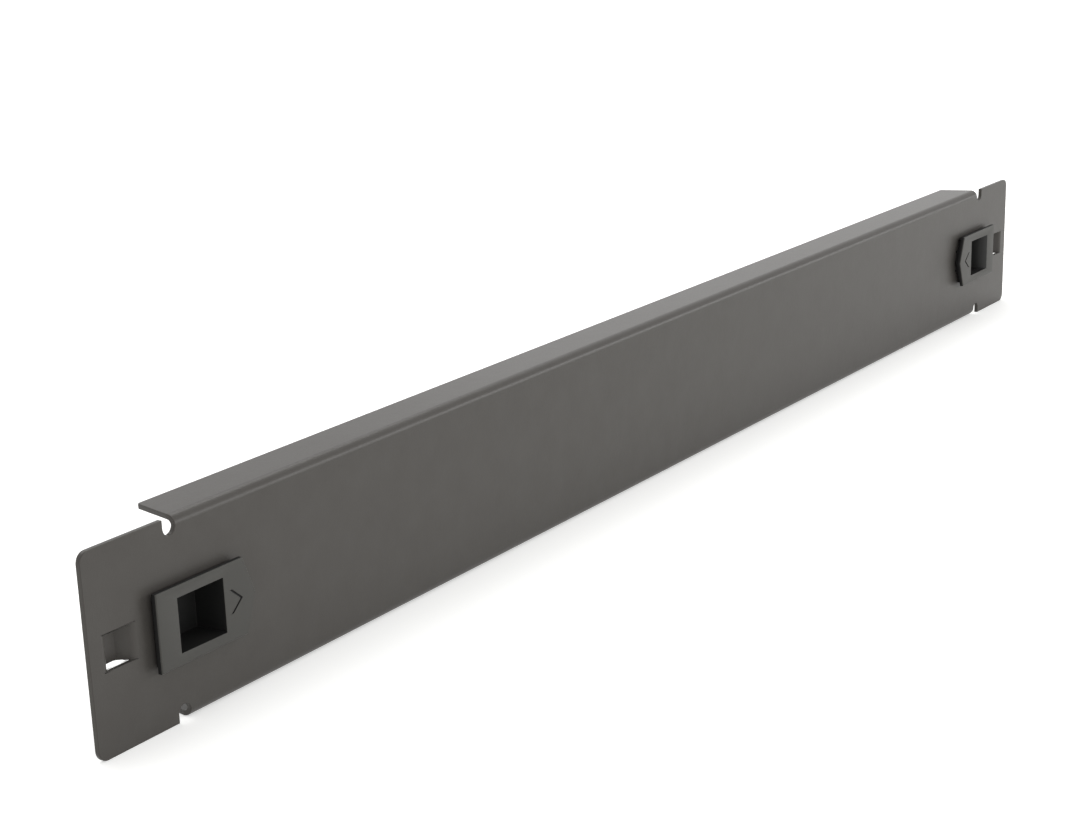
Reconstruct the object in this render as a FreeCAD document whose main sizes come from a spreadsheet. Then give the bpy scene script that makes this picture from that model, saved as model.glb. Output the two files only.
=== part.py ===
import FreeCAD, Part
import math
import os

import Sketcher

V = FreeCAD.Vector

# One rack unit of blanking panel: a folded steel sheet with a sprung slide latch at each end.
# X runs along the panel, Y goes into the rack and Z is up. The origin is the middle of the
# plane where the sheet's back meets the rack rails.

DIMENSIONS = {
    # folded sheet
    "panelWidth": 482.6,
    "panelHeight": 44.0,
    "sheetThickness": 1.2,
    "flangeDepth": 12.7,
    "bendRadius": 1.1,
    "flangeTaper": 3.0,
    "flangeCorner": 1.0,
    "earWidth": 24.1,
    "earCorner": 2.5,
    "reliefWidth": 3.7,
    "reliefDepth": 3.7,
    # lanced bosses that sit in the square holes of the rails
    "railHoleInset": 8.75,
    "bossLength": 10.4,
    "bossHeight": 7.9,
    "bossDepth": 3.3,
    "bossAngle": 50.0,
    "bossBend": 0.8,
    # latch position and travel
    "latchInset": 30.8,
    "latchTravel": 4.5,
    "stopGap": 0.1,
    # slot and spring tab in the sheet
    "slotClearance": 0.2,
    "tabWidth": 6.0,
    "tabRelief": 0.8,
    "tabBend": 1.0,
    "tabReach": 10.7,
    "tabCorner": 1.0,
    # slider, seen from the front
    "plateOuter": 13.4,
    "plateShoulder": 13.9,
    "platePoint": 3.4,
    "plateHeight": 17.1,
    "plateThickness": 2.3,
    "plateStep": 1.1,
    "plateInset": 1.0,
    "plateGap": 0.3,
    "plateChamfer": 0.25,
    "fingerLength": 14.4,
    "fingerHeight": 12.0,
    "fingerDepth": 8.2,
    "fingerRamp": 2.6,
    "boxWall": 1.1,
    "boxFloor": 1.1,
    "arrowStart": 9.1,
    "arrowLength": 3.2,
    "arrowHeight": 5.2,
    "arrowStroke": 0.7,
    "arrowDepth": 0.35,
    "catchWidth": 5.2,
    "catchLength": 1.2,
    "catchRise": 0.5,
    "catchSetback": 0.6,
    # bolt carrier behind the sheet
    "carrierGap": 0.3,
    "carrierThickness": 2.2,
    "carrierInner": 12.5,
    "carrierOuter": 11.5,
    "carrierHeight": 19.2,
    "carrierCorner": 1.5,
    "carrierFit": 0.1,
    "cupWall": 1.2,
    "cupBack": 1.2,
    "tabGap": 0.2,
    "tabSideGap": 0.6,
    "tongueReach": 18.5,
    "tongueHeight": 10.4,
    "tongueThickness": 2.4,
    "tongueCorner": 2.0,
    "tongueLeadIn": 1.2,
    "catchPlay": 0.1,
    # return spring and its tunnel
    "springDiameter": 3.2,
    "springWire": 0.5,
    "springTurns": 7.0,
    "springClearance": 0.25,
    "springClosedPitch": 1.1,
    "springSeatGap": 0.05,
    "tunnelWall": 0.85,
    "tunnelLength": 14.7,
    "tunnelBore": 12.5,
}

# how finely the spring's wire is drawn
SECTIONS_PER_TURN = 12
WIRE_SIDES = 6


class Size:
    """A number in mm together with the expression that gives it from the sheet."""

    def __init__(self, value, text=None):
        self.value = float(value)
        self.text = repr(self.value) if text is None else text

    def __add__(self, other):
        other = as_size(other)
        return Size(self.value + other.value, f"({self.text} + {other.text})")

    def __sub__(self, other):
        other = as_size(other)
        return Size(self.value - other.value, f"({self.text} - {other.text})")

    def __mul__(self, other):
        other = as_size(other)
        return Size(self.value * other.value, f"({self.text} * {other.text})")

    def __truediv__(self, other):
        other = as_size(other)
        return Size(self.value / other.value, f"({self.text} / {other.text})")

    def __neg__(self):
        return Size(-self.value, f"(0 - {self.text})")


def as_size(number):
    return number if isinstance(number, Size) else Size(number)


def sine(angle):
    return Size(math.sin(math.radians(angle.value)), f"sin({angle.text})")


def cosine(angle):
    return Size(math.cos(math.radians(angle.value)), f"cos({angle.text})")


class Sizes:
    """The driving dimensions, each readable as an attribute."""

    def __init__(self, doc):
        sheet = doc.addObject("Spreadsheet::Sheet", "Sizes")
        for row, (name, value) in enumerate(DIMENSIONS.items(), start=1):
            sheet.set(f"A{row}", name)
            sheet.set(f"B{row}", str(value))
            sheet.setAlias(f"B{row}", name)
            setattr(self, name, Size(value, f"Sizes.{name}"))
        doc.recompute()


class Bend:
    """An arc between two corners of an outline, about a given centre."""

    def __init__(self, x, y, turn):
        self.x = as_size(x)
        self.y = as_size(y)
        self.turn = turn


LEFT_TURN = 1
RIGHT_TURN = -1


def bind(obj, path, size):
    obj.setExpression(path, size.text)


def add_sketch(body, role, name, offset=None):
    """A sketch on one of the body's own planes, moved along the plane's normal by offset."""
    sketch = body.newObject("Sketcher::SketchObject", name)
    plane = next(f for f in body.Origin.OriginFeatures if f.Role == role)
    sketch.AttachmentSupport = [(plane, "")]
    sketch.MapMode = "FlatFace"
    if offset:
        sketch.AttachmentOffset = FreeCAD.Placement(V(0, 0, offset.value), FreeCAD.Rotation())
        bind(sketch, "AttachmentOffset.Base.z", offset)
    return sketch


def fix_point(sketch, edge, end, axis, size):
    """Hold one coordinate of an edge's point at a size from the sketch's origin."""
    if size.value == 0:
        line = -2 if axis == "X" else -1
        sketch.addConstraint(Sketcher.Constraint("PointOnObject", edge, end, line))
    elif size.value > 0:
        number = sketch.addConstraint(Sketcher.Constraint(f"Distance{axis}", -1, 1, edge, end, size.value))
        bind(sketch, f"Constraints[{number}]", size)
    else:
        number = sketch.addConstraint(Sketcher.Constraint(f"Distance{axis}", edge, end, -1, 1, -size.value))
        bind(sketch, f"Constraints[{number}]", -size)


def draw_outline(sketch, steps):
    """Close an outline through corners (x, y), with a Bend wherever an arc joins two of them."""
    corners = [(as_size(s[0]), as_size(s[1])) for s in steps if not isinstance(s, Bend)]
    bends = []
    for step in steps:
        if isinstance(step, Bend):
            bends[-1] = step
        else:
            bends.append(None)
    edges = []
    for number, bend in enumerate(bends):
        start = corners[number]
        end = corners[(number + 1) % len(corners)]
        p = V(start[0].value, start[1].value, 0)
        q = V(end[0].value, end[1].value, 0)
        if bend is None:
            edges.append((sketch.addGeometry(Part.LineSegment(p, q), False), 1, 2))
            continue
        centre = V(bend.x.value, bend.y.value, 0)
        circle = Part.Circle(centre, V(0, 0, 1), p.distanceToPoint(centre))
        angles = [math.atan2((c - centre).y, (c - centre).x) for c in (p, q)]
        if bend.turn == LEFT_TURN:
            arc = Part.ArcOfCircle(circle, angles[0], angles[1])
            edges.append((sketch.addGeometry(arc, False), 1, 2))
        else:
            arc = Part.ArcOfCircle(circle, angles[1], angles[0])
            edges.append((sketch.addGeometry(arc, False), 2, 1))
    for number, (edge, first, last) in enumerate(edges):
        following, next_first, _ = edges[(number + 1) % len(edges)]
        sketch.addConstraint(Sketcher.Constraint("Coincident", edge, last, following, next_first))
    for (edge, first, last), corner, bend, following in zip(
        edges, corners, bends, corners[1:] + corners[:1]
    ):
        fix_point(sketch, edge, first, "X", corner[0])
        fix_point(sketch, edge, first, "Y", corner[1])
        if bend is None:
            continue
        across = abs(following[0].value - corner[0].value)
        along = abs(following[1].value - corner[1].value)
        if across >= along:
            fix_point(sketch, edge, 3, "Y", bend.y)
        else:
            fix_point(sketch, edge, 3, "X", bend.x)


def draw_box(sketch, left, right, bottom, top):
    draw_outline(sketch, [(left, bottom), (right, bottom), (right, top), (left, top)])


def mirror_in_z(steps):
    """The same outline turned over, for a sketch whose second axis is Z."""
    turned = []
    for step in steps:
        if isinstance(step, Bend):
            turned.append(Bend(step.x, -step.y, -step.turn))
        else:
            turned.append((step[0], -as_size(step[1])))
    return turned


def add_pad(body, sketch, name, length, both_sides=False):
    feature = body.newObject("PartDesign::Pad", name)
    feature.Profile = sketch
    feature.SideType = "Symmetric" if both_sides else "One side"
    feature.Length = length.value
    bind(feature, "Length", length)
    return feature


def add_pocket(body, sketch, name, length=None, both_sides=False, reverse=False):
    """Cut a sketch to a depth, or right through the body when no depth is given."""
    feature = body.newObject("PartDesign::Pocket", name)
    feature.Profile = sketch
    feature.SideType = "Symmetric" if both_sides else "One side"
    feature.Reversed = reverse
    if length is None:
        feature.Type = "ThroughAll"
    else:
        feature.Length = length.value
        bind(feature, "Length", length)
    return feature


def dress(body, kind, name, prop, size, wanted):
    """Fillet or chamfer the edges of the body's tip that the test picks out."""
    body.Document.recompute()
    base = body.Tip
    names = [f"Edge{i}" for i, edge in enumerate(base.Shape.Edges, start=1) if wanted(edge)]
    if not names:
        raise RuntimeError(f"{name} finds no edge on {body.Label}")
    feature = body.newObject(f"PartDesign::{kind}", name)
    feature.Base = (base, names)
    setattr(feature, prop, size.value)
    bind(feature, prop, size)
    return feature


def near(a, b):
    return abs(a - b) < 1e-4


def along_axis(edge, axis):
    """Whether a straight edge runs along an axis given as 0, 1 or 2."""
    if not isinstance(edge.Curve, Part.Line):
        return False
    return near(abs(edge.Curve.Direction[axis]), 1)


def add_panel(doc, d):
    body = doc.addObject("PartDesign::Body", "panel")
    body.Label = "panel"
    t = d.sheetThickness
    top = d.panelHeight / 2
    end = d.panelWidth / 2
    back = d.flangeDepth - t
    bend = d.bendRadius
    flat = top - bend - t
    flange_end = end - d.earWidth - d.reliefWidth
    join = flange_end + d.reliefWidth / 2

    # the web with its two flanges, as one bent section
    upper = [
        (0, flat),
        Bend(bend, flat, RIGHT_TURN),
        (bend, top - t),
        (back, top - t),
        (back, top),
        (bend, top),
        Bend(bend, flat, LEFT_TURN),
        (-t, flat),
    ]
    lower = [
        (-t, -flat),
        Bend(bend, -flat, LEFT_TURN),
        (bend, -top),
        (back, -top),
        (back, t - top),
        (bend, t - top),
        Bend(bend, -flat, RIGHT_TURN),
        (0, -flat),
    ]
    sketch = add_sketch(body, "YZ_Plane", "ChannelSection")
    draw_outline(sketch, upper + lower)
    add_pad(body, sketch, "Channel", join * 2, both_sides=True)

    # the flat ear
    r = d.earCorner
    sketch = add_sketch(body, "XZ_Plane", "EarOutline")
    draw_outline(sketch, [
        (join, -top),
        (end - r, -top),
        Bend(end - r, r - top, LEFT_TURN),
        (end, r - top),
        (end, top - r),
        Bend(end - r, top - r, LEFT_TURN),
        (end - r, top),
        (join, top),
    ])
    ear = add_pad(body, sketch, "Ear", t)

    # round-ended relief cuts where each flange stops at the ear
    half = d.reliefWidth / 2
    centre = top - d.reliefDepth + half
    cut = [
        (flange_end, top + half),
        (flange_end, centre),
        Bend(join, centre, LEFT_TURN),
        (flange_end + d.reliefWidth, centre),
        (flange_end + d.reliefWidth, top + half),
    ]
    sketch = add_sketch(body, "XZ_Plane", "ReliefOutline")
    draw_outline(sketch, cut)
    draw_outline(sketch, mirror_in_z(cut))
    relief = add_pocket(body, sketch, "Relief", both_sides=True)

    # each flange's end is cut back at a slant towards its rear edge
    corner = flange_end - d.flangeTaper
    sketch = add_sketch(body, "XY_Plane", "FlangeEndOutline")
    draw_outline(sketch, [
        (flange_end, bend),
        (join, bend),
        (join, back),
        (corner, back),
    ])
    taper = add_pocket(body, sketch, "FlangeEnd", both_sides=True)

    # the boss: a strip of the sheet cut free above and below and pressed back
    boss = end - d.railHoleInset
    half = d.bossLength / 2
    tall = d.bossHeight / 2
    sketch = add_sketch(body, "XZ_Plane", "BossWindowOutline")
    draw_box(sketch, boss - half, boss + half, -tall, tall)
    window = add_pocket(body, sketch, "BossWindow", both_sides=True)

    inside = d.bossBend
    outside = inside + t
    sin_a = sine(d.bossAngle)
    cos_a = cosine(d.bossAngle)
    rise = d.bossDepth - (inside + outside) * (as_size(1) - cos_a)
    run = rise * cos_a / sin_a
    # distances in from the window's edge, and depths, of the corners of the ramp
    front_1 = (outside * sin_a, inside - outside * cos_a)
    front_2 = (front_1[0] + run, front_1[1] + rise)
    back_1 = (inside * sin_a, inside - inside * cos_a)
    back_2 = (back_1[0] + run, back_1[1] + rise)
    turn_x = front_2[0] + inside * sin_a
    turn_y = front_2[1] - inside * cos_a
    near_x = boss - half
    far_x = boss + half
    sketch = add_sketch(body, "XY_Plane", "BossSection")
    draw_outline(sketch, [
        (near_x, -t),
        Bend(near_x, inside, LEFT_TURN),
        (near_x + front_1[0], front_1[1]),
        (near_x + front_2[0], front_2[1]),
        Bend(near_x + turn_x, turn_y, RIGHT_TURN),
        (near_x + turn_x, turn_y + inside),
        (far_x - turn_x, turn_y + inside),
        Bend(far_x - turn_x, turn_y, RIGHT_TURN),
        (far_x - front_2[0], front_2[1]),
        (far_x - front_1[0], front_1[1]),
        Bend(far_x, inside, LEFT_TURN),
        (far_x, -t),
        (far_x, 0),
        Bend(far_x, inside, RIGHT_TURN),
        (far_x - back_1[0], back_1[1]),
        (far_x - back_2[0], back_2[1]),
        Bend(far_x - turn_x, turn_y, LEFT_TURN),
        (far_x - turn_x, turn_y + outside),
        (near_x + turn_x, turn_y + outside),
        Bend(near_x + turn_x, turn_y, LEFT_TURN),
        (near_x + back_2[0], back_2[1]),
        (near_x + back_1[0], back_1[1]),
        Bend(near_x, inside, RIGHT_TURN),
        (near_x, 0),
    ])
    strip = add_pad(body, sketch, "Boss", d.bossHeight, both_sides=True)

    # the latch slot, and the tab that its inner end is folded back into
    latch = end - d.latchInset
    box_half = d.fingerLength / 2 + d.boxWall
    slot_in = latch - box_half - d.latchTravel - d.stopGap
    slot_out = latch + box_half + d.stopGap
    slot_half = d.fingerHeight / 2 + d.boxWall + d.slotClearance
    fold = slot_in - d.tabBend - t
    neck = d.tabWidth / 2 + d.tabRelief
    sketch = add_sketch(body, "XZ_Plane", "SlotOutline")
    draw_outline(sketch, [
        (slot_out, -slot_half),
        (slot_out, slot_half),
        (slot_in, slot_half),
        (slot_in, neck),
        (fold, neck),
        (fold, -neck),
        (slot_in, -neck),
        (slot_in, -slot_half),
    ])
    slot = add_pocket(body, sketch, "Slot", both_sides=True)

    sketch = add_sketch(body, "XY_Plane", "TabSection")
    draw_outline(sketch, [
        (fold, -t),
        Bend(fold, d.tabBend, LEFT_TURN),
        (slot_in, d.tabBend),
        (slot_in, d.tabReach),
        (slot_in - t, d.tabReach),
        (slot_in - t, d.tabBend),
        Bend(fold, d.tabBend, RIGHT_TURN),
        (fold, 0),
    ])
    tab = add_pad(body, sketch, "Tab", d.tabWidth, both_sides=True)

    doc.recompute()
    mirrored = body.newObject("PartDesign::Mirrored", "OtherEnd")
    mirrored.Originals = [ear, relief, taper, window, strip, slot, tab]
    plane = next(f for f in body.Origin.OriginFeatures if f.Role == "YZ_Plane")
    mirrored.MirrorPlane = (plane, [""])
    body.Tip = mirrored

    def flange_corner(edge):
        middle = edge.CenterOfMass
        at_corner = near(abs(middle.x), corner.value) and near(middle.y, back.value)
        return at_corner and along_axis(edge, 2)

    dress(body, "Fillet", "FlangeCorners", "Radius", d.flangeCorner, flange_corner)

    def tab_corner(edge):
        return near(edge.CenterOfMass.y, d.tabReach.value) and along_axis(edge, 0)

    dress(body, "Fillet", "TabCorners", "Radius", d.tabCorner, tab_corner)
    return body


def slider_levels(d):
    """Distances of the slider's plate in front of the rail plane, and of its box behind it."""
    plate_back = d.sheetThickness + d.plateGap
    plate_front = plate_back + d.plateThickness
    floor = d.fingerDepth - plate_front
    return plate_back, plate_front, floor, floor + d.boxFloor


def add_slider(doc, d, side):
    """The front moulding: a pointed plate with a finger pocket whose box passes through the slot."""
    body = doc.addObject("PartDesign::Body", f"{side}_slider")
    body.Label = f"{side}_slider"
    plate_back, plate_front, floor, box_end = slider_levels(d)
    tall = d.plateHeight / 2
    finger = d.fingerLength / 2
    finger_tall = d.fingerHeight / 2
    box_half = finger + d.boxWall
    box_tall = finger_tall + d.boxWall

    # the plate's edge is stepped: its rear layer stands a little inside the front one
    def draw_plate(sketch, inset):
        outer = d.plateOuter - inset
        shoulder = inset - d.plateShoulder
        draw_outline(sketch, [
            (outer, inset - tall),
            (outer, tall - inset),
            (shoulder, tall - inset),
            (shoulder - d.platePoint, 0),
            (shoulder, inset - tall),
        ])

    sketch = add_sketch(body, "XZ_Plane", "PlateOutline", plate_back + d.plateStep)
    draw_plate(sketch, as_size(0))
    add_pad(body, sketch, "Plate", d.plateThickness - d.plateStep)

    def front_rim(edge):
        box = edge.BoundBox
        return near(box.YMin, -plate_front.value) and near(box.YMax, -plate_front.value)

    dress(body, "Chamfer", "PlateEdge", "Size", d.plateChamfer, front_rim)

    sketch = add_sketch(body, "XZ_Plane", "PlateStepOutline", plate_back)
    draw_plate(sketch, d.plateInset)
    add_pad(body, sketch, "PlateStep", d.plateStep)

    sketch = add_sketch(body, "XZ_Plane", "BoxOutline", -box_end)
    draw_box(sketch, -box_half, box_half, -box_tall, box_tall)
    add_pad(body, sketch, "Box", box_end + plate_back)

    # the outer side of the pocket starts with a ramp for the fingertip
    ramp = d.fingerRamp
    sketch = add_sketch(body, "XY_Plane", "FingerSection")
    draw_outline(sketch, [
        (-finger, -plate_front),
        (finger, -plate_front),
        (finger - ramp, ramp - plate_front),
        (finger - ramp, floor),
        (-finger, floor),
    ])
    add_pocket(body, sketch, "FingerPocket", d.fingerHeight, both_sides=True)

    # the arrow that shows which way the latch opens
    start = d.arrowStart
    tip = start + d.arrowLength
    wing = d.arrowHeight / 2
    sketch = add_sketch(body, "XZ_Plane", "ArrowOutline", plate_front)
    draw_outline(sketch, [
        (-start, wing),
        (-start - d.arrowStroke, wing),
        (-tip - d.arrowStroke, 0),
        (-start - d.arrowStroke, -wing),
        (-start, -wing),
        (-tip, 0),
    ])
    add_pocket(body, sketch, "Arrow", d.arrowDepth)

    # wedge catches that the carrier snaps over
    catch = d.carrierGap + d.carrierThickness + d.catchSetback
    wedge = [
        (catch, box_tall),
        (catch + d.catchLength, box_tall),
        (catch, box_tall + d.catchRise),
    ]
    sketch = add_sketch(body, "YZ_Plane", "CatchSection")
    draw_outline(sketch, wedge)
    draw_outline(sketch, mirror_in_z(wedge))
    add_pad(body, sketch, "Catches", d.catchWidth, both_sides=True)
    return body


def tunnel_axis(d):
    """How far the spring's axis lies behind the rail plane."""
    box_end = slider_levels(d)[3]
    return box_end + d.carrierFit + d.cupBack + d.springDiameter / 2 + d.springClearance


def tunnel_start(d):
    """The carrier's inner face across from the tab, clear of it when the latch is open."""
    return -(d.fingerLength / 2 + d.boxWall + d.stopGap - d.tabGap)


def add_carrier(doc, d, side):
    """The rear moulding: a cup round the slider's box, the tongue and the spring's tunnel."""
    body = doc.addObject("PartDesign::Body", f"{side}_bolt")
    body.Label = f"{side}_bolt"
    box_end = slider_levels(d)[3]
    base_back = d.carrierGap + d.carrierThickness
    base_tall = d.carrierHeight / 2
    hole = d.fingerLength / 2 + d.boxWall + d.carrierFit
    hole_tall = d.fingerHeight / 2 + d.boxWall + d.carrierFit
    cup = hole + d.cupWall
    cup_tall = hole_tall + d.cupWall
    cup_back = box_end + d.carrierFit + d.cupBack
    start = tunnel_start(d)
    axis = tunnel_axis(d)

    sketch = add_sketch(body, "XZ_Plane", "BaseOutline", -base_back)
    draw_box(sketch, -d.carrierInner, d.carrierOuter, -base_tall, base_tall)
    add_pad(body, sketch, "Base", d.carrierThickness)
    dress(body, "Fillet", "BaseCorners", "Radius", d.carrierCorner, lambda e: along_axis(e, 1))

    sketch = add_sketch(body, "XZ_Plane", "CupOutline", -cup_back)
    draw_box(sketch, -cup, cup, -cup_tall, cup_tall)
    add_pad(body, sketch, "Cup", cup_back - d.carrierGap)

    r = d.tongueCorner
    tongue_tall = d.tongueHeight / 2
    tongue_back = base_back + d.tongueThickness
    sketch = add_sketch(body, "XZ_Plane", "TongueOutline", -tongue_back)
    draw_outline(sketch, [
        (hole, -tongue_tall),
        (d.tongueReach - r, -tongue_tall),
        Bend(d.tongueReach - r, r - tongue_tall, LEFT_TURN),
        (d.tongueReach, r - tongue_tall),
        (d.tongueReach, tongue_tall - r),
        Bend(d.tongueReach - r, tongue_tall - r, LEFT_TURN),
        (d.tongueReach - r, tongue_tall),
        (hole, tongue_tall),
    ])
    add_pad(body, sketch, "Tongue", d.tongueThickness)

    def lead_in(edge):
        box = edge.BoundBox
        flat = near(box.YMin, tongue_back.value) and near(box.YMax, tongue_back.value)
        return flat and box.XMin > (d.tongueReach - r).value - 0.01

    dress(body, "Chamfer", "LeadIn", "Size", d.tongueLeadIn, lead_in)

    sketch = add_sketch(body, "XZ_Plane", "CavityOutline", -d.carrierGap)
    draw_box(sketch, -hole, hole, -hole_tall, hole_tall)
    add_pocket(body, sketch, "Cavity", box_end + d.carrierFit - d.carrierGap)

    # open side that lets the carrier pass the sheet's tab
    gate = d.tabWidth / 2 + d.tabSideGap
    sketch = add_sketch(body, "XZ_Plane", "TabGateOutline")
    draw_box(sketch, -d.carrierInner - d.cupWall, start, -gate, gate)
    add_pocket(body, sketch, "TabGate", both_sides=True)

    bore = d.springDiameter / 2 + d.springClearance
    shell = bore + d.tunnelWall
    sketch = add_sketch(body, "YZ_Plane", "TunnelSection", start)
    draw_outline(sketch, [
        (cup_back - d.cupBack, -shell),
        (axis, -shell),
        Bend(axis, 0, LEFT_TURN),
        (axis, shell),
        (cup_back - d.cupBack, shell),
    ])
    add_pad(body, sketch, "Tunnel", d.tunnelLength)

    sketch = add_sketch(body, "YZ_Plane", "BoreOutline", start)
    circle = sketch.addGeometry(Part.Circle(V(axis.value, 0, 0), V(0, 0, 1), bore.value), False)
    fix_point(sketch, circle, 3, "X", axis)
    fix_point(sketch, circle, 3, "Y", as_size(0))
    number = sketch.addConstraint(Sketcher.Constraint("Radius", circle, bore.value))
    bind(sketch, f"Constraints[{number}]", bore)
    add_pocket(body, sketch, "Bore", d.tunnelBore, reverse=True)

    catch = base_back + d.catchSetback
    half = d.catchWidth / 2 + d.catchPlay * 2
    sketch = add_sketch(body, "XY_Plane", "CatchWindowOutline")
    draw_box(sketch, -half, half, catch - d.catchPlay, catch + d.catchLength + d.catchPlay)
    add_pocket(body, sketch, "CatchWindows", both_sides=True)
    return body


def add_spring(doc, d, side):
    """A compression spring with closed ends, lofted through sections of its wire."""
    wire = d.springWire.value / 2
    coil = d.springDiameter.value / 2 - wire
    axis = tunnel_axis(d).value
    tab_face = -(d.fingerLength / 2 + d.boxWall + d.latchTravel + d.stopGap)
    start = (tab_face + d.springSeatGap).value + wire
    end = (tunnel_start(d) + d.tunnelBore - d.springSeatGap).value - wire
    turns = d.springTurns.value
    closed = d.springWire.value * d.springClosedPitch.value
    open_pitch = (end - start - 2 * closed) / (turns - 2)
    count = round(turns * SECTIONS_PER_TURN)
    sections = []
    for number in range(count + 1):
        turn = turns * number / count
        along = start + closed * min(turn, 1)
        along += open_pitch * min(max(turn - 1, 0), turns - 2)
        along += closed * max(turn - turns + 1, 0)
        angle = 2 * math.pi * turn
        outward = V(0, math.cos(angle), math.sin(angle))
        centre = V(along, axis, 0) + outward * coil
        corners = []
        for corner in range(WIRE_SIDES):
            lean = 2 * math.pi * corner / WIRE_SIDES
            corners.append(centre + outward * (wire * math.cos(lean)) + V(wire * math.sin(lean), 0, 0))
        sections.append(Part.makePolygon(corners + corners[:1]))
    spring = doc.addObject("Part::Feature", f"{side}_spring")
    spring.Label = f"{side}_spring"
    spring.Shape = Part.makeLoft(sections, True, True)
    return spring


def place(body, d, side):
    """Latch pieces are drawn with +X pointing outwards, and turned over for the left end."""
    latch = d.panelWidth / 2 - d.latchInset
    if side == "left":
        body.Placement = FreeCAD.Placement(V(-latch.value, 0, 0), FreeCAD.Rotation(V(0, 1, 0), 180))
        bind(body, "Placement.Base.x", -latch)
    else:
        body.Placement = FreeCAD.Placement(V(latch.value, 0, 0), FreeCAD.Rotation())
        bind(body, "Placement.Base.x", latch)


def check(doc, bodies):
    for obj in doc.Objects:
        if "Invalid" in obj.State or "Error" in obj.State:
            raise RuntimeError(f"{obj.Label} failed: {obj.State}")
    for body in bodies:
        shape = body.Shape
        if shape.isNull() or not shape.isValid() or len(shape.Solids) != 1:
            raise RuntimeError(f"{body.Label} is not one valid solid")
        before = None
        for feature in getattr(body, "Group", []):
            if not feature.isDerivedFrom("PartDesign::Feature"):
                continue
            volume = feature.Shape.Volume
            if feature.TypeId == "PartDesign::Pocket" and volume >= before - 1e-6:
                raise RuntimeError(f"{feature.Label} of {body.Label} cuts nothing")
            before = volume


def main():
    doc = FreeCAD.newDocument("RackBlankingPanel")
    d = Sizes(doc)
    bodies = [add_panel(doc, d)]
    for side in ("left", "right"):
        for add_piece in (add_slider, add_carrier, add_spring):
            body = add_piece(doc, d, side)
            place(body, d, side)
            bodies.append(body)
    doc.recompute()
    check(doc, bodies)
    os.makedirs("parts", exist_ok=True)
    for body in bodies:
        body.Shape.exportStep(f"parts/{body.Label}.step")
        box = body.Shape.BoundBox
        print(
            f"{body.Label:13s} volume {body.Shape.Volume:9.1f}"
            f"  x {box.XMin:8.2f} {box.XMax:8.2f}  y {box.YMin:6.2f} {box.YMax:6.2f}"
            f"  z {box.ZMin:6.2f} {box.ZMax:6.2f}"
        )


main()
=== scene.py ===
import math

import bmesh
import bpy
from mathutils import Matrix, Vector


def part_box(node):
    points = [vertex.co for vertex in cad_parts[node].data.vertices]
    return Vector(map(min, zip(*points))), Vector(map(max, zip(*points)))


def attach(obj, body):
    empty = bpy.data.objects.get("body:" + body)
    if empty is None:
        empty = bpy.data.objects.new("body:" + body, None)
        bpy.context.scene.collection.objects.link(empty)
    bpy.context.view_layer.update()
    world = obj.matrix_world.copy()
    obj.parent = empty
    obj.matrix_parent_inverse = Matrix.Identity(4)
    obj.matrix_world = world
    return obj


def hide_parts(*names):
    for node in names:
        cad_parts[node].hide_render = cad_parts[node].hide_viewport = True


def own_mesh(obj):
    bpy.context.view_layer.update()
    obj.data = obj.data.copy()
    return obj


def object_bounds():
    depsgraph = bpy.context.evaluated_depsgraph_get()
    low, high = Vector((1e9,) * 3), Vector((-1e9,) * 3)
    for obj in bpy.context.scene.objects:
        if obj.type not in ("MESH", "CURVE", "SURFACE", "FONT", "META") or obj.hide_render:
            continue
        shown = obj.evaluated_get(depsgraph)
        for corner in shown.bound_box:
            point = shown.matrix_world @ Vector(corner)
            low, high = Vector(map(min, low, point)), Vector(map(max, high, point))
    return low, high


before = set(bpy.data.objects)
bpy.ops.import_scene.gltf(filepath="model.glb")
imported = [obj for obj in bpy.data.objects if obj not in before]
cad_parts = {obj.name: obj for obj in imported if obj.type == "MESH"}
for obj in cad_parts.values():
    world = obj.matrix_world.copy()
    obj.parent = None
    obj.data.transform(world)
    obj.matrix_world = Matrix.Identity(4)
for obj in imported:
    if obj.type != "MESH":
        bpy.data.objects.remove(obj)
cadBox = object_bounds()
mm = 0.001
print("loaded the packed panel:", sorted(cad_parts))


def linearColour(hexCode):  # sRGB hex to linear, with full alpha
    channels = [int(hexCode[i:i + 2], 16) / 255 for i in (1, 3, 5)]
    linear = [c / 12.92 if c <= 0.04045 else ((c + 0.055) / 1.055) ** 2.4 for c in channels]
    return linear + [1.0]


def addNode(shaded, kind, settings=None, inputs=None):
    # a node of a material or world, with its settings, constants and links
    tree = shaded.node_tree
    node = tree.nodes.new(kind)
    for name, value in (settings or {}).items():
        setattr(node, name, value)
    for name, value in (inputs or {}).items():
        socket = node.inputs[name]
        if isinstance(value, bpy.types.NodeSocket):
            tree.links.new(value, socket)
        else:
            socket.default_value = value
    return node


def emptyMaterial(name):
    material = bpy.data.materials.new(name)
    material.use_nodes = True
    material.node_tree.nodes.clear()
    return material


# camera: fitted to the panel's outline, from the left end and above

photoCamera = {
    "place": (-539.73, -298.36, 154.54),  # mm
    "azimuth": 57.19,  # degrees, turned from straight on towards the panel's left end
    "elevation": 19.72,  # degrees, looking down
    "roll": 1.88,
    "sensor": 36,  # mm
    "focal": 75.22,
    "rise": 0.1889,  # of the picture's width, from the lens axis up to the picture's middle
    "near": 0.01,  # m
    "far": 50,
}


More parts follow.
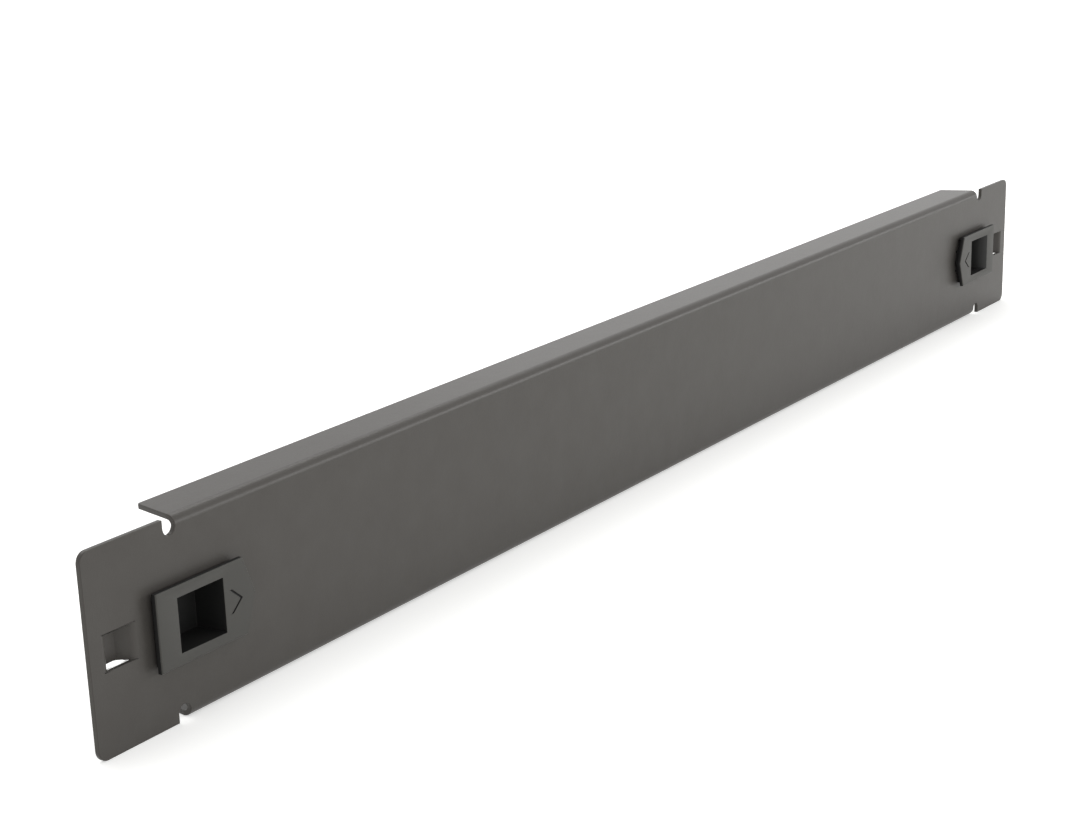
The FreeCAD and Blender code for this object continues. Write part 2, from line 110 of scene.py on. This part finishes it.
def makeCamera(view):
    data = bpy.data.cameras.new("photoCamera")
    data.sensor_fit = "HORIZONTAL"
    data.sensor_width = view["sensor"]
    data.lens = view["focal"]
    data.shift_y = view["rise"]
    data.clip_start = view["near"]
    data.clip_end = view["far"]
    camera = bpy.data.objects.new("photoCamera", data)
    bpy.context.scene.collection.objects.link(camera)
    turn = Matrix.Rotation(-math.radians(view["azimuth"]), 4, "Z")
    pitch = Matrix.Rotation(math.radians(90 - view["elevation"]), 4, "X")
    roll = Matrix.Rotation(-math.radians(view["roll"]), 4, "Z")
    camera.matrix_world = Matrix.Translation(Vector(view["place"]) * mm) @ turn @ pitch @ roll
    bpy.context.scene.camera = camera


makeCamera(photoCamera)
print("camera set")


# powder coated steel: a baked polyester coat, so a fine pebbled skin with a broad satin sheen

coat = {
    "body": "#44413e",
    "mottle": "#4b4946",
    "mottleSize": 9,  # mm, slow drift of the tone
    "grain": 0.45,  # a little coarser than the real pebbles, so that it shows
    "grainHeight": 0.016,
    "peel": 2.6,  # waves of the coat
    "peelHeight": 0.02,
    "roughness": (0.33, 0.42),
    "specular": 0.17,
}


def makeCoat(values):
    material = emptyMaterial("powderCoatedSteel")
    place = addNode(material, "ShaderNodeTexCoord").outputs["Object"]
    mottle = addNode(material, "ShaderNodeTexNoise", inputs={
        "Vector": place, "Scale": 1 / (values["mottleSize"] * mm), "Detail": 3, "Roughness": 0.55})
    grain = addNode(material, "ShaderNodeTexNoise", inputs={
        "Vector": place, "Scale": 1 / (values["grain"] * mm), "Detail": 2, "Roughness": 0.5})
    peel = addNode(material, "ShaderNodeTexNoise", inputs={
        "Vector": place, "Scale": 1 / (values["peel"] * mm), "Detail": 1, "Roughness": 0.4})
    tint = addNode(material, "ShaderNodeMix", {"data_type": "RGBA"}, {
        "Factor": mottle.outputs["Fac"],
        "A": linearColour(values["body"]), "B": linearColour(values["mottle"])})
    sheen = addNode(material, "ShaderNodeMapRange", inputs={
        "Value": grain.outputs["Fac"],
        "To Min": values["roughness"][0], "To Max": values["roughness"][1]})
    waves = addNode(material, "ShaderNodeBump", inputs={
        "Height": peel.outputs["Fac"], "Distance": values["peelHeight"] * mm, "Strength": 1})
    pebbles = addNode(material, "ShaderNodeBump", inputs={
        "Height": grain.outputs["Fac"], "Distance": values["grainHeight"] * mm, "Strength": 1,
        "Normal": waves.outputs["Normal"]})
    shader = addNode(material, "ShaderNodeBsdfPrincipled", inputs={
        "Base Color": tint.outputs["Result"], "Roughness": sheen.outputs["Result"], "IOR": 1.5,
        "Specular IOR Level": values["specular"], "Normal": pebbles.outputs["Normal"]})
    addNode(material, "ShaderNodeOutputMaterial", inputs={"Surface": shader.outputs["BSDF"]})
    return material


# black nylon: injection moulded against a spark eroded tool, so matt with a fine even grain

nylon = {
    "body": "#111111",
    "bloom": "#161615",
    "bloomSize": 4,  # mm
    "grain": 0.3,
    "grainHeight": 0.008,
    "roughness": (0.55, 0.66),
    "specular": 0.25,
}

# painted nylon: the latch's face is sprayed to match the sheet, a little smoother than powder coat

facePaint = {
    "body": "#343330",
    "bloom": "#3a3935",
    "bloomSize": 6,  # mm
    "grain": 0.35,
    "grainHeight": 0.006,
    "roughness": (0.44, 0.52),
    "specular": 0.3,
}


def makeMoulded(name, values):
    material = emptyMaterial(name)
    place = addNode(material, "ShaderNodeTexCoord").outputs["Object"]
    bloom = addNode(material, "ShaderNodeTexNoise", inputs={
        "Vector": place, "Scale": 1 / (values["bloomSize"] * mm), "Detail": 2})
    grain = addNode(material, "ShaderNodeTexNoise", inputs={
        "Vector": place, "Scale": 1 / (values["grain"] * mm), "Detail": 2, "Roughness": 0.5})
    tint = addNode(material, "ShaderNodeMix", {"data_type": "RGBA"}, {
        "Factor": bloom.outputs["Fac"],
        "A": linearColour(values["body"]), "B": linearColour(values["bloom"])})
    sheen = addNode(material, "ShaderNodeMapRange", inputs={
        "Value": grain.outputs["Fac"],
        "To Min": values["roughness"][0], "To Max": values["roughness"][1]})
    skin = addNode(material, "ShaderNodeBump", inputs={
        "Height": grain.outputs["Fac"], "Distance": values["grainHeight"] * mm, "Strength": 1})
    shader = addNode(material, "ShaderNodeBsdfPrincipled", inputs={
        "Base Color": tint.outputs["Result"], "Roughness": sheen.outputs["Result"], "IOR": 1.53,
        "Specular IOR Level": values["specular"], "Normal": skin.outputs["Normal"]})
    addNode(material, "ShaderNodeOutputMaterial", inputs={"Surface": shader.outputs["BSDF"]})
    return material


# spring wire: drawn carbon steel, bright, with faint marks along the wire from the die

wireFinish = {
    "bright": "#c9c8c4",
    "dull": "#a5a39d",
    "streak": 0.12,  # mm
    "roughness": (0.22, 0.34),
}


def makeWire(values):
    material = emptyMaterial("drawnSpringSteel")
    place = addNode(material, "ShaderNodeTexCoord").outputs["Object"]
    streaks = addNode(material, "ShaderNodeTexNoise", inputs={
        "Vector": place, "Scale": 1 / (values["streak"] * mm), "Detail": 2})
    tint = addNode(material, "ShaderNodeMix", {"data_type": "RGBA"}, {
        "Factor": streaks.outputs["Fac"],
        "A": linearColour(values["bright"]), "B": linearColour(values["dull"])})
    polish = addNode(material, "ShaderNodeMapRange", inputs={
        "Value": streaks.outputs["Fac"],
        "To Min": values["roughness"][0], "To Max": values["roughness"][1]})
    shader = addNode(material, "ShaderNodeBsdfPrincipled", inputs={
        "Base Color": tint.outputs["Result"], "Roughness": polish.outputs["Result"], "Metallic": 1})
    addNode(material, "ShaderNodeOutputMaterial", inputs={"Surface": shader.outputs["BSDF"]})
    return material


powderCoat = makeCoat(coat)
blackNylon = makeMoulded("mouldedBlackNylon", nylon)
paintedFace = makeMoulded("paintedLatchFace", facePaint)
springSteel = makeWire(wireFinish)
print("materials made")


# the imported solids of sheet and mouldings, with edges as soft as coat and tool leave them

def softenedSolid(node, edge):
    solid = bmesh.new()
    solid.from_mesh(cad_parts[node].data)
    bmesh.ops.remove_doubles(solid, verts=solid.verts, dist=edge["weld"] * mm)
    bmesh.ops.dissolve_limit(
        solid, angle_limit=math.radians(edge["flat"]), verts=solid.verts, edges=solid.edges)
    limit = math.radians(edge["sharp"])
    sharp = [e for e in solid.edges if e.is_manifold and e.calc_face_angle() > limit]
    bmesh.ops.bevel(
        solid, geom=sharp, offset=edge["radius"] * mm, offset_type="OFFSET", affect="EDGES",
        segments=edge["segments"], profile=0.5, clamp_overlap=False, material=-1)
    bmesh.ops.recalc_face_normals(solid, faces=solid.faces)
    return solid


def placePiece(solid, name, body, node, materials):
    mesh = bpy.data.meshes.new(name)
    for material in materials:
        mesh.materials.append(material)
    for face in solid.faces:
        face.smooth = True
    solid.to_mesh(mesh)
    solid.free()
    piece = bpy.data.objects.new(name, mesh)
    bpy.context.scene.collection.objects.link(piece)
    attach(piece, body)
    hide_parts(node)
    return piece


def evenNormals(piece):
    weighted = piece.modifiers.new("evenNormals", "WEIGHTED_NORMAL")
    weighted.keep_sharp = True
    weighted.weight = 100


# folded sheet

sheetEdge = {
    "weld": 0.002,  # mm
    "flat": 0.5,  # degrees, faces that lie flatter than this are joined
    "sharp": 32,  # degrees, edges that turn further than this are rounded
    "radius": 0.2,
    "segments": 2,
}

sheet = placePiece(softenedSolid("panel", sheetEdge), "foldedSheet", "panel", "panel",
                   [powderCoat])
evenNormals(sheet)
print("folded sheet made:", len(sheet.data.polygons), "faces")


# latches: only the slider's face is painted, so its sides, pocket and arrow stay black

sliderEdge = {
    "weld": 0.002,
    "flat": 0.5,
    "sharp": 50,
    "radius": 0.1,
    "segments": 2,
    "paintDepth": 0.3,  # mm, behind the plate's foremost point
    "paintFacing": 0.3,  # how far a painted face points forwards, from 0 to 1
}
boltEdge = {"weld": 0.002, "flat": 0.5, "sharp": 50, "radius": 0.1, "segments": 2}


def paintFront(solid, values):
    front = min(v.co.y for v in solid.verts)
    for face in solid.faces:
        depth = max(abs(v.co.y - front) for v in face.verts)
        painted = depth < values["paintDepth"] * mm and face.normal.y < -values["paintFacing"]
        face.material_index = 1 if painted else 0


for side in ("left", "right"):
    solid = softenedSolid(f"{side}_slider", sliderEdge)
    paintFront(solid, sliderEdge)
    slider = placePiece(solid, f"{side}Slider", f"{side}_latch", f"{side}_slider",
                        [blackNylon, paintedFace])
    evenNormals(slider)
    bolt = placePiece(softenedSolid(f"{side}_bolt", boltEdge), f"{side}Bolt", f"{side}_latch",
                      f"{side}_bolt", [blackNylon])
    evenNormals(bolt)
    print(side, "latch made:", len(slider.data.polygons), "and", len(bolt.data.polygons), "faces")


# return springs: round wire, closed at both ends

springCoil = {
    "wire": 0.5,  # mm
    "turns": 7,
    "closedTurns": 1,
    "closedPitch": 0.55,
    "sides": 10,
    "stepsPerTurn": 24,
    "travel": 4.5,  # the latch's, which shortens the spring
}


def woundSpring(side, coil):
    low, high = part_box(f"{side}_spring")
    outward = -1 if side == "left" else 1  # from the tab towards this end of the panel
    tabEnd = high.x if side == "left" else low.x
    length = high.x - low.x
    wire = coil["wire"] * mm
    radius = (high.z - low.z) / 2 - wire / 2
    axis = Vector((0, (low.y + high.y) / 2, 0))
    openTurns = coil["turns"] - 2 * coil["closedTurns"]
    closedRun = coil["closedTurns"] * coil["closedPitch"] * mm
    openRun = length - wire - 2 * closedRun
    closed = (coil["closedTurns"], closedRun)
    spring = bmesh.new()
    ring = bmesh.ops.create_circle(spring, cap_ends=False, radius=wire / 2, segments=coil["sides"])
    start = Vector((tabEnd + outward * wire / 2, axis.y + radius, 0))
    bmesh.ops.translate(spring, verts=ring["verts"], vec=start)
    edges = spring.edges[:]
    for turns, run in (closed, (openTurns, openRun), closed):
        steps = turns * coil["stepsPerTurn"]
        wound = bmesh.ops.spin(
            spring, geom=edges, cent=axis, axis=(1, 0, 0), angle=math.radians(360 * turns),
            steps=steps, dvec=(outward * run / steps, 0, 0), use_merge=False)
        edges = [e for e in wound["geom_last"] if isinstance(e, bmesh.types.BMEdge)]
    bmesh.ops.holes_fill(spring, edges=[e for e in spring.edges if e.is_boundary], sides=0)
    bmesh.ops.recalc_face_normals(spring, faces=spring.faces)
    piece = placePiece(spring, f"{side}Spring", "panel", f"{side}_spring",
                       [springSteel])
    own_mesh(piece)
    return piece


for side in ("left", "right"):
    spring = woundSpring(side, springCoil)
    print(side, "spring wound:", len(spring.data.polygons), "faces")


# floor and light: white studio, a lamp above and behind, and low lamps at both sides

stageLook = {
    "floorColour": "#e9e9e7",
    "floorRadius": 6,  # m
    "floorSides": 96,
    "floorGlow": 0.4,  # seen but lighting nothing, so that the floor runs into the white ground
    "skyLight": 0.75,
}


def makeFloor(values):
    disc = bmesh.new()
    bmesh.ops.create_circle(
        disc, cap_ends=True, radius=values["floorRadius"], segments=values["floorSides"])
    bmesh.ops.translate(disc, verts=disc.verts, vec=(0, 0, cadBox[0].z))
    mesh = bpy.data.meshes.new("paleFloor")
    disc.to_mesh(mesh)
    disc.free()
    floor = bpy.data.objects.new("paleFloor", mesh)
    bpy.context.scene.collection.objects.link(floor)
    material = emptyMaterial("matPaper")
    seen = seenRays(material)
    glow = addNode(material, "ShaderNodeMath", {"operation": "MULTIPLY"}, {
        0: seen, 1: values["floorGlow"]})
    matt = addNode(material, "ShaderNodeBsdfDiffuse", inputs={
        "Color": linearColour(values["floorColour"])})
    light = addNode(material, "ShaderNodeEmission", inputs={
        "Color": (1, 1, 1, 1), "Strength": glow.outputs["Value"]})
    both = addNode(material, "ShaderNodeAddShader", inputs={
        0: matt.outputs["BSDF"], 1: light.outputs["Emission"]})
    addNode(material, "ShaderNodeOutputMaterial", inputs={"Surface": both.outputs["Shader"]})
    mesh.materials.append(material)


def seenRays(shaded):  # 1 for camera, glossy and transmission rays, 0 for those that only light
    path = addNode(shaded, "ShaderNodeLightPath")
    seen = addNode(shaded, "ShaderNodeMath", {"operation": "MAXIMUM"}, {
        0: path.outputs["Is Camera Ray"], 1: path.outputs["Is Glossy Ray"]})
    both = addNode(shaded, "ShaderNodeMath", {"operation": "MAXIMUM"}, {
        0: seen.outputs["Value"], 1: path.outputs["Is Transmission Ray"]})
    return both.outputs["Value"]


def makeSky(values):
    world = bpy.data.worlds.new("whiteStudio")
    world.use_nodes = True
    world.node_tree.nodes.clear()
    bpy.context.scene.world = world
    seen = seenRays(world)
    strength = addNode(world, "ShaderNodeMapRange", inputs={
        "Value": seen, "To Min": values["skyLight"], "To Max": 1})
    ground = addNode(world, "ShaderNodeBackground", inputs={
        "Color": (1, 1, 1, 1), "Strength": strength.outputs["Result"]})
    addNode(world, "ShaderNodeOutputWorld", inputs={"Surface": ground.outputs["Background"]})


softboxes = {  # place, aim and size in m
    "overhead": {
        "place": (0.5, 0.6, 1.3), "aim": (0, 0, 0), "size": (1.6, 0.7), "watts": 14},
    "front": {
        "place": (-0.9, -0.95, 0.4), "aim": (-0.2, 0, 0), "size": (0.5, 0.4), "watts": 2.5},
    "backRight": {
        "place": (1.6, 0.75, 0.38), "aim": (0, 0, 0), "size": (0.8, 0.3), "watts": 0.6},
    "sideFront": {  # far off, so that it lights both ends alike and draws the bend's light line
        "place": (2.75, -2.75, 0.75), "aim": (-0.1, 0, 0), "size": (2.7, 0.3), "watts": 46},
}


def makeSoftbox(name, values):
    data = bpy.data.lights.new(name, "AREA")
    data.shape = "RECTANGLE"
    data.size, data.size_y = values["size"]
    data.energy = values["watts"]
    lamp = bpy.data.objects.new(name, data)
    bpy.context.scene.collection.objects.link(lamp)
    place = Vector(values["place"])
    lamp.location = place
    lamp.rotation_euler = (Vector(values["aim"]) - place).to_track_quat("-Z", "Y").to_euler()


makeFloor(stageLook)
makeSky(stageLook)
for name, values in softboxes.items():
    makeSoftbox(name, values)
bpy.context.scene.view_settings.view_transform = "Standard"
print("floor and light set")
